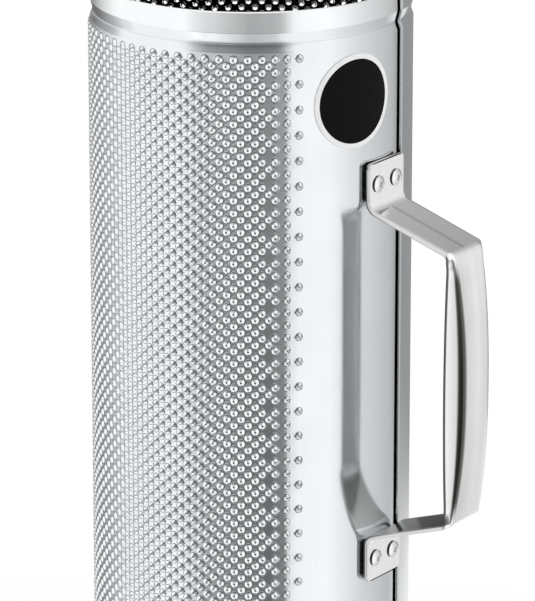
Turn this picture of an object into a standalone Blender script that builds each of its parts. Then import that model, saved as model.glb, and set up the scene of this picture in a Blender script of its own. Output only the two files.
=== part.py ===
"""Guira: a tube rolled from thin steel sheet, with a pressed strap handle riveted to it.

The tube stands on its open lower end. Its axis is vertical and the handle points to +X.
Lengths are in metres and angles in degrees. Angles round the tube are measured from the
handle, anticlockwise as seen from above.
"""
import bmesh
import bpy
from math import asin, atan2, ceil, cos, degrees, pi, radians, sin, sqrt, tan

# Tube, rolled from one sheet
TUBE_DIAMETER = 0.150
TUBE_LENGTH = 0.3586
SHEET = 0.0008
FACET_ANGLE = 5.5
FLAT_ANGLE = 0.1

# Each end has a plain lip, then a bead rolled into the sheet, with a creased bottom
LIP_HEIGHT = 0.0093
BEAD_WIDTH = 0.0090
BEAD_DEPTH = 0.0017
BEAD_STEPS = 6
BEAD_ROUNDING = 1.5

# Bumps pressed outwards in staggered rows, all over but for the handle's smooth side.
# They are drawn wider apart than on the real sheet, to keep the solid light.
FIELD_FROM_BEAD = 0.0025
FIELD_BESIDE_BADGE = 0.0064
BUMP_PITCH_AROUND = 0.0156
BUMP_PITCH_UP = 0.0150
BUMP_HEIGHT = 0.0012

# Lap seam under the feet's +Y edge: the end on that side lies over the other end
SEAM_UNDER_FOOT = 0.0016
LAP_WIDTH = 0.0120
LAP_EASE_WIDTH = 0.0800
LAP_FLAT_SHARE = 0.2
LAP_GAP = 0.0003

# Round badge, bent to the tube
BADGE_DIAMETER = 0.0445
BADGE_BELOW_BEAD = 0.0054
BADGE_ANGLE = -15.0
BADGE_THICKNESS = 0.0006
BADGE_RIM_WIDTH = 0.0024
BADGE_RIM_HEIGHT = 0.0002
BADGE_RINGS = 3
BADGE_FACETS = 30

# Handle: flat feet, sloping arms and a grip pressed to a trough
HANDLE_BELOW_BADGE = 0.0085
HANDLE_WIDTH = 0.0295
HANDLE_THICKNESS = 0.0020
HANDLE_REACH = 0.0470
FOOT_HEIGHT = 0.0215
FOOT_CORNER = 0.0030
FOOT_BEND = 0.0045
ARM_SLOPE = 18.2
ARM_INNER_BEND = 0.0020
GRIP_WIDTH = 0.0240
GRIP_FLANK = 0.0068
GRIP_INNER_BEND = 0.0020
GRIP_BULGE = 0.0077
GRIP_CROWN_ANGLE = 15.0
GRIP_START = 0.07
GRIP_FULL_FOLD = 0.40
GRIP_SWELL = 1.5
GRIP_RISE = 2.8
STRAP_EDGE = 0.0006
GRIP_STEPS = 7
CROWN_STEPS = 2
BEND_STEPS = 3
CORNER_STEPS = 4

# Blind rivets, two to a foot
RIVET_FROM_EDGE = 0.0075
RIVET_DIAMETER = 0.0040
RIVET_HEAD_DIAMETER = 0.0080
RIVET_HEAD_HEIGHT = 0.0015
RIVET_HEAD_EDGE = 0.0004
RIVET_BORE = 0.0022
RIVET_BULB_DIAMETER = 0.0058
RIVET_BULB_LENGTH = 0.0036
MANDREL_DIAMETER = 0.0016
MANDREL_HEAD_DIAMETER = 0.0036
MANDREL_HEAD_HEIGHT = 0.0016
MANDREL_BELOW_HEAD = 0.0005
DOME_STEPS = 4
RIVET_FACETS = 16

# Clearance kept between pieces that touch
GAP = 0.0003

# Edges sharper than this angle stay crisp in the shading
SHARP_ANGLE = 35.0

# Worked out from the sizes above
TUBE_RADIUS = TUBE_DIAMETER / 2
HALF_LENGTH = TUBE_LENGTH / 2
BEAD_END = LIP_HEIGHT + BEAD_WIDTH
BADGE_RADIUS = BADGE_DIAMETER / 2
BADGE_Z = TUBE_LENGTH - BEAD_END - BADGE_BELOW_BEAD - BADGE_RADIUS
HANDLE_TOP = BADGE_Z - BADGE_RADIUS - HANDLE_BELOW_BADGE - HALF_LENGTH
FOOT_Z = HANDLE_TOP - FOOT_HEIGHT / 2
FOOT_FACE = TUBE_RADIUS + GAP + HANDLE_THICKNESS
GRIP_FACE = TUBE_RADIUS + HANDLE_REACH
GRIP_BEND = GRIP_INNER_BEND + HANDLE_THICKNESS
CROWN_ANGLE = radians(GRIP_CROWN_ANGLE)
FOLD_ANGLE = pi / 2 - CROWN_ANGLE
BEND_LENGTH = GRIP_BEND * FOLD_ANGLE
CROWN_RADIUS = GRIP_BEND + (GRIP_WIDTH / 2 - GRIP_BEND) / sin(CROWN_ANGLE)
CROWN_LENGTH = CROWN_RADIUS * CROWN_ANGLE
FLAT_LENGTH = HANDLE_WIDTH / 2 - BEND_LENGTH - STRAP_EDGE
SEAM_ANGLE = asin((HANDLE_WIDTH / 2 - SEAM_UNDER_FOOT) / TUBE_RADIUS)
LAP_ANGLE = LAP_WIDTH / TUBE_RADIUS
EASE_ANGLE = LAP_EASE_WIDTH / TUBE_RADIUS
SHEET_TURN = 2 * pi + LAP_ANGLE
FIELD_EDGE = (BADGE_RADIUS + FIELD_BESIDE_BADGE) / TUBE_RADIUS - radians(BADGE_ANGLE)
FIELD_START = FIELD_EDGE - SEAM_ANGLE
FIELD_END = 2 * pi - FIELD_EDGE - SEAM_ANGLE
FIELD_BOTTOM = BEAD_END + FIELD_FROM_BEAD
FIELD_TOP = TUBE_LENGTH - FIELD_BOTTOM
CELLS_AROUND = 2 * round((FIELD_END - FIELD_START) * TUBE_RADIUS / BUMP_PITCH_AROUND)
CELLS_UP = 2 * round((FIELD_TOP - FIELD_BOTTOM) / BUMP_PITCH_UP)
CELL_TURN = (FIELD_END - FIELD_START) / CELLS_AROUND
CELL_HEIGHT = (FIELD_TOP - FIELD_BOTTOM) / CELLS_UP
RIVET_SPACING = HANDLE_WIDTH - 2 * RIVET_FROM_EDGE
RIVET_SEAT = FOOT_FACE + GAP
BULB_REACH = (RIVET_SPACING + RIVET_BULB_DIAMETER) / 2
BULB_TOP = sqrt((TUBE_RADIUS - SHEET) ** 2 - BULB_REACH ** 2) - GAP
RIVET_GRIP = RIVET_SEAT - BULB_TOP
AXIS_X = -(HANDLE_REACH + GRIP_BULGE - BUMP_HEIGHT) / 2


def clear_scene():
    for old in list(bpy.data.objects):
        bpy.data.objects.remove(old, do_unlink=True)


def new_collection(name):
    collection = bpy.data.collections.new(name)
    bpy.context.scene.collection.children.link(collection)
    return collection


def new_finish(name, colour, roughness, metallic):
    material = bpy.data.materials.new(name)
    material.use_nodes = True
    shader = material.node_tree.nodes["Principled BSDF"]
    shader.inputs["Base Color"].default_value = (*colour, 1.0)
    shader.inputs["Roughness"].default_value = roughness
    shader.inputs["Metallic"].default_value = metallic
    return material


def new_object(name, mesh, collection, parent, location=(0, 0, 0)):
    piece = bpy.data.objects.new(name, mesh)
    piece.parent = parent
    piece.location = location
    collection.objects.link(piece)
    return piece


def mesh_from(name, shape, finish):
    mesh = bpy.data.meshes.new(name)
    shape.to_mesh(mesh)
    shape.free()
    mesh.shade_smooth()
    mesh.set_sharp_from_angle(angle=radians(SHARP_ANGLE))
    mesh.materials.append(finish)
    return mesh


def spread(stops, step):
    """Values from the first stop to the last, each span in equal steps no longer than step."""
    values = [stops[0]]
    for low, high in zip(stops, stops[1:]):
        count = ceil((high - low) / step - 1e-6)
        values += [low + (high - low) * k / count for k in range(1, count + 1)]
    return values


def bent_grid(columns, rows, place):
    """A flat grid, as a blank, with each point moved to place(column value, row value)."""
    blank = bmesh.new()
    last_column = len(columns) - 1
    last_row = len(rows) - 1
    bmesh.ops.create_grid(blank, x_segments=last_column, y_segments=last_row, size=1.0)
    for point in blank.verts:
        column = columns[round((point.co.x + 1) / 2 * last_column)]
        row = rows[round((point.co.y + 1) / 2 * last_row)]
        point.co = place(column, row)
    blank.normal_update()
    return blank


def add_solidify(piece, thickness):
    wall = piece.modifiers.new("wall", "SOLIDIFY")
    wall.thickness = thickness
    wall.offset = -1
    wall.use_even_offset = True


def add_cut(piece, cutters):
    cut = piece.modifiers.new("rivet_holes", "BOOLEAN")
    cut.operation = "DIFFERENCE"
    cut.operand_type = "COLLECTION"
    cut.collection = cutters
    cut.solver = "EXACT"


def lap_lift(turn):
    """Rise of the sheet's outer end over the end below it, eased down to the plain tube."""
    past = (turn - LAP_ANGLE) / EASE_ANGLE - LAP_FLAT_SHARE
    eased = min(max(past / (1 - LAP_FLAT_SHARE), 0), 1)
    return (SHEET + LAP_GAP) * (1 + cos(pi * eased)) / 2


def bead_depth(height):
    """Depth of the rolled bead at a height, the same at both ends of the tube."""
    from_crease = min(height, TUBE_LENGTH - height) - LIP_HEIGHT - BEAD_WIDTH / 2
    share = 1 - abs(from_crease) / (BEAD_WIDTH / 2)
    return BEAD_DEPTH * max(share, 0) ** BEAD_ROUNDING


def sheet_point(turn, height):
    radius = TUBE_RADIUS + lap_lift(turn) - bead_depth(height)
    angle = SEAM_ANGLE + turn
    return radius * cos(angle), radius * sin(angle), height


def is_bump_cell(face):
    """True on every other cell of the field, on the sheet's outer side."""
    centre = face.calc_center_median()
    if face.normal.x * centre.x + face.normal.y * centre.y < 0:
        return False
    turn = (atan2(centre.y, centre.x) - SEAM_ANGLE) % (2 * pi)
    if not (FIELD_START < turn < FIELD_END and FIELD_BOTTOM < centre.z < FIELD_TOP):
        return False
    column = int((turn - FIELD_START) / CELL_TURN)
    row = int((centre.z - FIELD_BOTTOM) / CELL_HEIGHT)
    return (column + row) % 2 == 0


def make_tube(collection, parent, cutters):
    """One sheet rolled a little past a full turn, bumped, beaded at both ends and open inside."""
    turns = spread([0, LAP_ANGLE, FIELD_START], radians(FACET_ANGLE))
    turns += spread([FIELD_START, FIELD_END], CELL_TURN)[1:]
    turns += spread([FIELD_END, SHEET_TURN], radians(FACET_ANGLE))[1:]
    lower = spread([LIP_HEIGHT, BEAD_END], BEAD_WIDTH / BEAD_STEPS)
    upper = [TUBE_LENGTH - height for height in reversed(lower)]
    heights = [0.0, *lower, *spread([FIELD_BOTTOM, FIELD_TOP], CELL_HEIGHT), *upper, TUBE_LENGTH]
    sheet = bent_grid(turns, heights, sheet_point)
    bmesh.ops.solidify(sheet, geom=sheet.faces[:], thickness=SHEET)
    sheet.normal_update()
    bumps = [face for face in sheet.faces if is_bump_cell(face)]
    bmesh.ops.poke(sheet, faces=bumps, offset=BUMP_HEIGHT)
    bmesh.ops.dissolve_limit(sheet, angle_limit=radians(FLAT_ANGLE), verts=sheet.verts[:],
                             edges=sheet.edges[:], use_dissolve_boundaries=False)
    steel = new_finish("tube_steel", (0.78, 0.79, 0.80), 0.22, 1.0)
    tube = new_object("tube", mesh_from("tube", sheet, steel), collection, parent)
    add_cut(tube, cutters)


def bend_points(corner, radius, start, end):
    """Arc of a strap bend from one heading to another, as (out, up) points and headings."""
    turn = end - start
    back = radius * tan(abs(turn) / 2)
    side = 1 if turn > 0 else -1
    begin = (corner[0] - back * cos(start), corner[1] - back * sin(start))
    centre = (begin[0] - side * radius * sin(start), begin[1] + side * radius * cos(start))
    points = []
    for step in range(BEND_STEPS + 1):
        heading = start + turn * step / BEND_STEPS
        out = centre[0] + side * radius * sin(heading)
        up = centre[1] - side * radius * cos(heading)
        points.append((out, up, heading))
    return points


def half_section(share):
    """Half of the strap's section, as (across, below the crown) points from the middle outwards.

    The share goes from 0 on the flat strap to 1 at mid grip, where the edges are folded down
    to flanks. The fold starts on the bend at the grip's end. The bend along the flank keeps its
    length and curls up as the flank grows. Also gives the rise of the crown.
    """
    swell = 1 - (1 - share) ** GRIP_SWELL
    crown = CROWN_ANGLE * swell
    fold = FOLD_ANGLE * sin(pi / 2 * min(1, share / GRIP_FULL_FOLD))
    lengths = [(FLAT_LENGTH + (CROWN_LENGTH - FLAT_LENGTH) * swell) / CROWN_STEPS] * CROWN_STEPS
    lengths += [BEND_LENGTH / BEND_STEPS] * BEND_STEPS
    lengths += [STRAP_EDGE + (GRIP_FLANK - STRAP_EDGE) * swell]
    tilts = [crown * (step + 0.5) / CROWN_STEPS for step in range(CROWN_STEPS)]
    tilts += [crown + fold * (step + 0.5) / BEND_STEPS for step in range(BEND_STEPS)]
    tilts += [crown + fold]
    points = [(0.0, 0.0)]
    for length, tilt in zip(lengths, tilts):
        points.append((points[-1][0] + length * cos(tilt), points[-1][1] + length * sin(tilt)))
    return points, GRIP_BULGE * (1 - (1 - share) ** GRIP_RISE)


def strap_stations():
    """Stations along the upper half of the strap: (out, up, heading, width share, grip share)."""
    down = -pi / 2
    slope = -radians(ARM_SLOPE)
    foot_bottom = HANDLE_TOP - FOOT_HEIGHT
    arm_drop = (GRIP_FACE - FOOT_FACE) * tan(radians(ARM_SLOPE))
    stations = []
    for step in range(CORNER_STEPS + 1):
        angle = pi / 2 * step / CORNER_STEPS
        up = HANDLE_TOP - FOOT_CORNER * (1 - cos(angle))
        width = 1 - FOOT_CORNER * (1 - sin(angle)) / (HANDLE_WIDTH / 2)
        stations.append((FOOT_FACE, up, down, width, 0.0))
    for out, up, heading in bend_points((FOOT_FACE, foot_bottom), FOOT_BEND, down, slope):
        stations.append((out, up, heading, 1.0, 0.0))
    outer_bend = ARM_INNER_BEND + HANDLE_THICKNESS
    corner = bend_points((GRIP_FACE, foot_bottom - arm_drop), outer_bend, slope, down)
    for step, (out, up, heading) in enumerate(corner):
        stations.append((out, up, heading, 1.0, GRIP_START * step / BEND_STEPS))
    grip_top = stations[-1][1]
    for step in range(1, GRIP_STEPS + 1):
        way = step / GRIP_STEPS
        share = GRIP_START + (1 - GRIP_START) * way
        stations.append((GRIP_FACE, grip_top * (1 - way), down, 1.0, share))
    return stations


def make_handle(collection, parent, cutters):
    """Strap bent from a flat blank, half of it modelled and mirrored about mid height."""

    def strap_point(place, station):
        out, up, heading, width, share = station
        section, bulge = half_section(share)
        across, below = section[abs(place)]
        side = across * width if place > 0 else -across * width
        lift = bulge - below
        return out - lift * sin(heading), side, up + lift * cos(heading)

    last = CROWN_STEPS + BEND_STEPS + 1
    across = list(range(-last, last + 1))
    stations = list(reversed(strap_stations()))
    steel = new_finish("handle_steel", (0.80, 0.80, 0.81), 0.14, 1.0)
    mesh = mesh_from("handle", bent_grid(across, stations, strap_point), steel)
    handle = new_object("handle", mesh, collection, parent, (0, 0, HALF_LENGTH))
    mirror = handle.modifiers.new("lower_half", "MIRROR")
    mirror.use_axis = (False, False, True)
    mirror.merge_threshold = 0.00005
    add_solidify(handle, HANDLE_THICKNESS)
    add_cut(handle, cutters)


def make_badge(collection, parent):
    """Thin disc with a raised rim, turned flat and then bent round the tube."""
    field = BADGE_RADIUS - BADGE_RIM_WIDTH
    rings = [field * k / BADGE_RINGS for k in range(BADGE_RINGS + 1)]
    rim_top = BADGE_THICKNESS + BADGE_RIM_HEIGHT
    profile = [(radius, BADGE_THICKNESS) for radius in rings]
    profile += [(field, rim_top), (BADGE_RADIUS, rim_top), (BADGE_RADIUS, 0.0)]
    profile += [(radius, 0.0) for radius in reversed(rings)]
    disc = bmesh.new()
    points = [disc.verts.new((radius, 0, height)) for radius, height in profile]
    edges = [disc.edges.new(pair) for pair in zip(points, points[1:])]
    bmesh.ops.spin(disc, geom=points + edges, axis=(0, 0, 1), cent=(0, 0, 0),
                   steps=BADGE_FACETS, angle=2 * pi, use_merge=True)
    bmesh.ops.remove_doubles(disc, verts=disc.verts, dist=0.00001)
    for point in disc.verts:
        angle = radians(BADGE_ANGLE) + point.co.x / TUBE_RADIUS
        radius = TUBE_RADIUS + GAP + point.co.z
        point.co = (radius * cos(angle), radius * sin(angle), point.co.y)
    bmesh.ops.recalc_face_normals(disc, faces=disc.faces)
    if disc.calc_volume(signed=True) < 0:
        bmesh.ops.reverse_faces(disc, faces=disc.faces)
    print_black = new_finish("badge_black", (0.02, 0.02, 0.02), 0.35, 0.0)
    mesh = mesh_from("badge", disc, print_black)
    new_object("badge", mesh, collection, parent, (0, 0, BADGE_Z))


def profile_mesh(name, profile, closed, finish):
    """Edges of a turned profile, given as (radius, height) down its outer side."""
    outline = bmesh.new()
    points = [outline.verts.new((radius, 0, height)) for radius, height in profile]
    following = points[1:] + points[:1] if closed else points[1:]
    for pair in zip(points, following):
        outline.edges.new(pair)
    mesh = bpy.data.meshes.new(name)
    outline.to_mesh(mesh)
    outline.free()
    mesh.materials.append(finish)
    return mesh


def rivet_profile():
    """Hollow rivet from its seat: domed head, shank and the bulb formed inside the tube."""
    bore = RIVET_BORE / 2
    shank = RIVET_DIAMETER / 2
    head = RIVET_HEAD_DIAMETER / 2
    bulb = RIVET_BULB_DIAMETER / 2
    end = -RIVET_GRIP - RIVET_BULB_LENGTH
    rise = RIVET_HEAD_HEIGHT - RIVET_HEAD_EDGE
    profile = []
    for step in range(DOME_STEPS + 1):
        radius = bore + (head - bore) * step / DOME_STEPS
        profile.append((radius, RIVET_HEAD_EDGE + rise * (1 - (step / DOME_STEPS) ** 2)))
    profile += [(head, 0.0), (shank, 0.0), (shank, -RIVET_GRIP), (bulb, -RIVET_GRIP)]
    profile += [(bulb, -RIVET_GRIP - RIVET_BULB_LENGTH / 2), (shank, end), (bore, end)]
    return profile


def mandrel_profile():
    """Broken mandrel left in the rivet: a short stem with its head under the bulb."""
    stem = MANDREL_DIAMETER / 2
    head = MANDREL_HEAD_DIAMETER / 2
    top = RIVET_HEAD_HEIGHT - MANDREL_BELOW_HEAD
    shoulder = -RIVET_GRIP - RIVET_BULB_LENGTH - GAP
    bottom = shoulder - MANDREL_HEAD_HEIGHT
    return [(0.0, top), (stem, top), (stem, shoulder), (head, shoulder),
            (head, (shoulder + bottom) / 2), (head / 2, bottom), (0.0, bottom)]


def rivet_places():
    """Name and (y, z) of each rivet, z from mid height. Left and right face the handle."""
    for row, up in (("upper", FOOT_Z), ("lower", -FOOT_Z)):
        for side, sign in (("left", -1), ("right", 1)):
            yield f"{row}_{side}", sign * RIVET_SPACING / 2, HALF_LENGTH + up


def add_turning(piece):
    turning = piece.modifiers.new("turning", "SCREW")
    turning.axis = "Z"
    turning.steps = RIVET_FACETS
    turning.render_steps = RIVET_FACETS
    turning.use_merge_vertices = True
    turning.merge_threshold = 0.00001
    turning.use_smooth_shade = False


def make_rivets(collection, parent):
    steel = new_finish("rivet_steel", (0.75, 0.75, 0.76), 0.30, 1.0)
    dark_steel = new_finish("mandrel_steel", (0.30, 0.30, 0.31), 0.45, 1.0)
    rivet_mesh = profile_mesh("rivet", rivet_profile(), True, steel)
    mandrel_mesh = profile_mesh("mandrel", mandrel_profile(), False, dark_steel)
    for place, side, up in rivet_places():
        for kind, mesh in (("rivet", rivet_mesh), ("mandrel", mandrel_mesh)):
            piece = new_object(f"{kind}_{place}", mesh, collection, parent, (RIVET_SEAT, side, up))
            piece.rotation_euler = (0, pi / 2, 0)
            add_turning(piece)


def make_rivet_cutters(cutters, parent):
    """Drills for the rivet holes, through a foot and the sheet behind it."""
    reach = RIVET_GRIP + RIVET_BULB_LENGTH
    drill = bmesh.new()
    bmesh.ops.create_cone(drill, cap_ends=True, segments=RIVET_FACETS, depth=2 * reach,
                          radius1=RIVET_DIAMETER / 2 + GAP, radius2=RIVET_DIAMETER / 2 + GAP)
    mesh = bpy.data.meshes.new("drill")
    drill.to_mesh(mesh)
    drill.free()
    for place, side, up in rivet_places():
        cutter = new_object(f"drill_{place}", mesh, cutters, parent, (RIVET_SEAT, side, up))
        cutter.rotation_euler = (0, pi / 2, 0)
        cutter.hide_render = True
        cutter.display_type = "WIRE"


def main():
    clear_scene()
    parts = new_collection("guira")
    cutters = new_collection("guira_cutters")
    axis = new_object("tube_axis", None, parts, None, (AXIS_X, 0, 0))
    make_rivet_cutters(cutters, axis)
    make_tube(parts, axis, cutters)
    make_handle(parts, axis, cutters)
    make_badge(parts, axis)
    make_rivets(parts, axis)
    print(f"seam at {degrees(SEAM_ANGLE):.1f} degrees from the handle")


main()
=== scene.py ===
"""Looks of the guira: a bumped steel tube with a riveted strap handle and a blank round badge.

Lengths are in metres. Angles given as numbers are in degrees, and turns along the sheet and
angles worked out from sizes are in radians. The tube's axis is vertical at AXIS_X, and angles
round the tube are measured from the handle (+X), anticlockwise as seen from above.
"""

from math import asin, ceil, cos, pi, radians, sin, sqrt, tan

import bmesh
import bpy
import numpy as np
from mathutils import Matrix


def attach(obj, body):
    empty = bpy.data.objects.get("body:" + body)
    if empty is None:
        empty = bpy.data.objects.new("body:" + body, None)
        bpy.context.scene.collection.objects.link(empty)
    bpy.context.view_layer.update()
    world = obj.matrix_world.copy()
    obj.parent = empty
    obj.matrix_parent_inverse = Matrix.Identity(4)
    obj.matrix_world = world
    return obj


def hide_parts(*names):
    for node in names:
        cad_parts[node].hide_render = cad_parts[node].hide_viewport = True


# Tube: radius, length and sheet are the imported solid's, and bead, lip and seam are drawn finer
AXIS_X = -0.02675
TUBE_RADIUS = 0.075
TUBE_LENGTH = 0.3586
SHEET = 0.0008
LIP_HEIGHT = 0.0100
LIP_LEAN = 0.00025
BEAD_CENTRE = 0.0153
BEAD_END = 0.0190
BEAD_DEPTH = 0.0012
BEAD_ROUND = 0.0010
BEAD_STEP = 0.0006
BEAD_EASE = 0.00015
CREASE_WIDTH = 0.0008
# mark that paints shade along the bottom of the bead
CREASE_SHADE_MARK = -0.10
SEAM_SIDE = 0.0153
SEAM_ANGLE = asin(SEAM_SIDE / TUBE_RADIUS)
LAP_WIDTH = 0.0120
LAP_TURN = LAP_WIDTH / TUBE_RADIUS
EASE_WIDTH = 0.0800
EASE_TURN = EASE_WIDTH / TUBE_RADIUS
LAP_FLAT_SHARE = 0.2
LAP_GAP = 0.0003
JOGGLE_WIDTH = 0.0030
JOGGLE_DEPTH = 0.0007
RIM_CHAMFER = 0.0005
RIM_EASE = 0.0008
LAP_BEVEL = 0.00012
SHEET_TURN = 2 * pi + LAP_TURN
PLAIN_STEP = 0.0020
JOGGLE_STEP = 0.0004
TUBE_CRISP_ANGLE = 27

# Bumps: full columns with staggered ones between them
COLUMNS = 56
PIECE_COLUMNS = COLUMNS // 4
ROWS = 53
COLUMN_TURN = 0.08764
COLUMN_PITCH = COLUMN_TURN * TUBE_RADIUS
ROW_PITCH = 0.00602
TOP_ROW_DROP = 0.0223
TOP_ROW_Z = TUBE_LENGTH - TOP_ROW_DROP
LAST_COLUMN_ANGLE = -35.6
END_COLUMNS = 3
END_SQUEEZE = 0.88
SQUEEZE_REACH = 1.2
SQUEEZE_FROM = LAP_TURN + 0.0001
SQUEEZE_TO = 2 * pi - 0.05
BUMP_SIDES = 8
BUMP_RINGS = ((0.00219, 0.0), (0.00197, 0.00006), (0.00178, 0.00015), (0.00054, 0.00098))
BUMP_HEIGHT = 0.00103
BUMP_FOOT = (0.04, 0.10)
# mark that gives the bumps' feet painted shade
FOOT_SHADE_MARK = -1.0
DIMPLE_RINGS = ((0.00175, 0.0), (0.00080, 0.00110))
DIMPLE_DEPTH = 0.00115
DIMPLE_SHIFT = 0.00045

# Badge
BADGE_RADIUS = 0.02225
BADGE_Z = 0.31265
BADGE_ANGLE = -15.0
BADGE_THICKNESS = 0.0006
BADGE_RIM_WIDTH = 0.0024
BADGE_RIM_CREST = (0.0003, 0.0001)
BADGE_RIM_DROP = 0.0002
BADGE_GAP = 0.00005
BADGE_RINGS = 10
BADGE_SEGMENTS = 96

# Handle, with heights from the tube's mid height upwards
HANDLE_TOP = 0.10260
HANDLE_WIDTH = 0.0295
HANDLE_THICKNESS = 0.0020
HANDLE_REACH = 0.0470
FOOT_HEIGHT = 0.0215
FOOT_CORNER = 0.0030
FOOT_BEND = 0.0045
ARM_SLOPE = 18.2
ARM_INNER_BEND = 0.0020
GRIP_WIDTH = 0.0240
GRIP_FLANK = 0.0076
GRIP_INNER_BEND = 0.0020
GRIP_BULGE = 0.0071
GRIP_CROWN_ANGLE = 8.0
GRIP_START = 0.07
GRIP_FULL_FOLD = 0.15
GRIP_SWELL = 2.2
GRIP_RISE = 2.3
STRAP_EDGE = 0.0018
FLANK_LEAST = 0.0003
BEND_LEAST = 0.0020
GRIP_STEPS = 24
CROWN_STEPS = 6
BEND_STEPS = 8
EDGE_BEVEL = 0.0006

# How much painted shade and painted dark reflection the handle's bends and flanks, crown, arms and
# edges get
BAND_SHADE = (0.7, 1.0, 1.0, 1.0, 1.0, 1.0, 0.8, 0.5, 0.32)
BAND_FULL = 0.20
CROWN_SHADE = 0.30
# painted shade on the arms' inner sides, at the foot and at the grip
INNER_ARM_SHADE = (0.45, 0.80)
ARM_STREAK_SHADE = 0.35
ARM_EDGE_SHADE = 0.5
GRIP_EDGE_SHADE = 3.0
STREAK_FADE = 0.3

# Blind rivets and the mandrels left in them
RIVET_SPACING = 0.0145
RIVET_HEAD = 0.0040
RIVET_HEAD_HEIGHT = 0.0015
RIVET_HEAD_EDGE = 0.0004
# radius past which the rivet head gets a painted shadow
RIVET_SHADE_FROM = 0.00385
RIVET_SHANK = 0.0020
RIVET_BORE = 0.0011
RIVET_BULB = 0.0029
RIVET_BULB_LENGTH = 0.0036
RIVET_BORE_CHAMFER = 0.0002
RIVET_STEPS = 10
RIVET_SEGMENTS = 40
MANDREL = 0.0009
MANDREL_BELOW_HEAD = 0.0002
MANDREL_HEAD = 0.0018
MANDREL_HEAD_HEIGHT = 0.0016
MANDREL_HEAD_STEPS = 6
MANDREL_BREAK = ((0.0, 0.00005), (0.5, 0.0), (0.85, 0.00005), (1.0, 0.0002))

# Gaps, tolerances and edges
GAP = 0.0003
MERGE = 0.00002
TURNED_MERGE = 0.000005
ALIKE = 0.00001
STEP_SLACK = 1e-6
CRISP_ANGLE = 38
BEVEL_STEPS = 2

# Layout of the tube's skins and cut edges in its UV map
MAP_EDGE = 0.01
MAP_SKIN = 0.46
MAP_INNER_SKIN = 0.53
MAP_CUT = 0.004
MAP_SIDE_CUTS = (0.484, 0.490)
MAP_RIM_CUTS = (0.510, 0.502)
CUT_FACING = 0.2
RIM_FACING = 0.7

# Floor, and a camera placed from the foot of the tube's axis
FLOOR_RADIUS = 12.0
FLOOR_SEGMENTS = 64
FLOOR_GREY = 0.85
FLOOR_GLOW = 1.05
FLOOR_GLOW_SHARE = 0.8
CAMERA_ANGLE = -54.7
CAMERA_PLACE = (1.2537, -1.7707, 0.8807)
CAMERA_TILT = 17.443
CAMERA_TURN = 35.0887
CAMERA_LENS = 286.39
CAMERA_SENSOR = 36.0
CAMERA_CLIP = 100.0

# Studio light: greys by the angle round from the camera, or by the angle up from level
PANELS = ((-180, 0.16), (-150, 0.30), (-105, 0.96), (-48, 0.98), (-39, 0.70), (0, 0.33), (22, 0.40),
          (31, 0.97), (58, 1.0), (86, 0.73), (126, 0.48), (136, 0.28), (165, 0.26), (180, 0.16))
GAP_AROUND = ((-150, 0.7), (-115, 0.6), (-103, 0.0), (-52, 0.0), (-32, 1.0), (22, 1.0), (31, 0.0))
GAP_UP = ((-60, 0.60), (-40, 0.85), (-28, 0.30), (-20, 0.15), (-17, 0.20), (-14.4, 0.38), (-12, 0.66),
          (-9, 0.66), (-4, 0.18), (6, 0.16), (24, 0.22), (38, 0.36), (54, 0.85))
CARD_AROUND = ((124, 0.0), (138, 1.0), (172, 1.0), (180, 0.0))
CARD_UP = ((-20.6, 0.7), (-19.3, 0.0))
OVERHEAD_UP = ((31, 0.0), (72, 1.0))
PANEL_SHARE = 0.5
SIDE_STRENGTH = 2.8
OVERHEAD_STRENGTH = 1.3

# Grain of the steels, the colours that parts of them are tinted to, and the badge's print
UPRIGHT = (500, 500, 14)
ALONG_STRAP = (12, 320, 12)
EVEN = (300, 300, 300)
# painted highlight: white in the pits on the tube's inside
PIT_PAINTED_HIGHLIGHT = (1.0, 1.0, 1.0)
# painted highlight on the bumps
BUMP_PAINTED_HIGHLIGHT = (0.69, 0.70, 0.71)
# painted shade in the valleys at the bumps' feet
FOOT_PAINTED_SHADE = (0.07, 0.08, 0.09)
# painted dark reflection at the bumps' tips
TIP_PAINTED_REFLECTION = (0.04, 0.04, 0.042)
# painted highlight on the lip
LIP_PAINTED_HIGHLIGHT = (0.72, 0.735, 0.745)
# painted shade and painted dark reflections on the handle
HANDLE_PAINTED_SHADE = (0.085, 0.082, 0.075)
PRINT_RELIEF = 0.000005
PRINT_GLOSS = 0.06

# Worked out from the sizes above
FIRST_COLUMN_TURN = radians(360 + LAST_COLUMN_ANGLE) - SEAM_ANGLE - (COLUMNS - 1) * COLUMN_TURN
FIELD_TOP = TOP_ROW_Z + ROW_PITCH / 2
FIELD_BOTTOM = TOP_ROW_Z - (ROWS - 0.5) * ROW_PITCH
FOOT_FACE = TUBE_RADIUS + GAP + HANDLE_THICKNESS
GRIP_FACE = TUBE_RADIUS + HANDLE_REACH
GRIP_BEND = GRIP_INNER_BEND + HANDLE_THICKNESS
CROWN_ANGLE = radians(GRIP_CROWN_ANGLE)
FOLD_ANGLE = pi / 2 - CROWN_ANGLE
BEND_LENGTH = GRIP_BEND * FOLD_ANGLE
CROWN_LENGTH = (GRIP_BEND + (GRIP_WIDTH / 2 - GRIP_BEND) / sin(CROWN_ANGLE)) * CROWN_ANGLE
FLAT_LENGTH = HANDLE_WIDTH / 2 - BEND_LEAST - FLANK_LEAST - STRAP_EDGE
RIVET_SEAT = FOOT_FACE + GAP
BULB_REACH = RIVET_SPACING / 2 + RIVET_BULB
RIVET_GRIP = RIVET_SEAT - sqrt((TUBE_RADIUS - SHEET) ** 2 - BULB_REACH ** 2) + GAP

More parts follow.
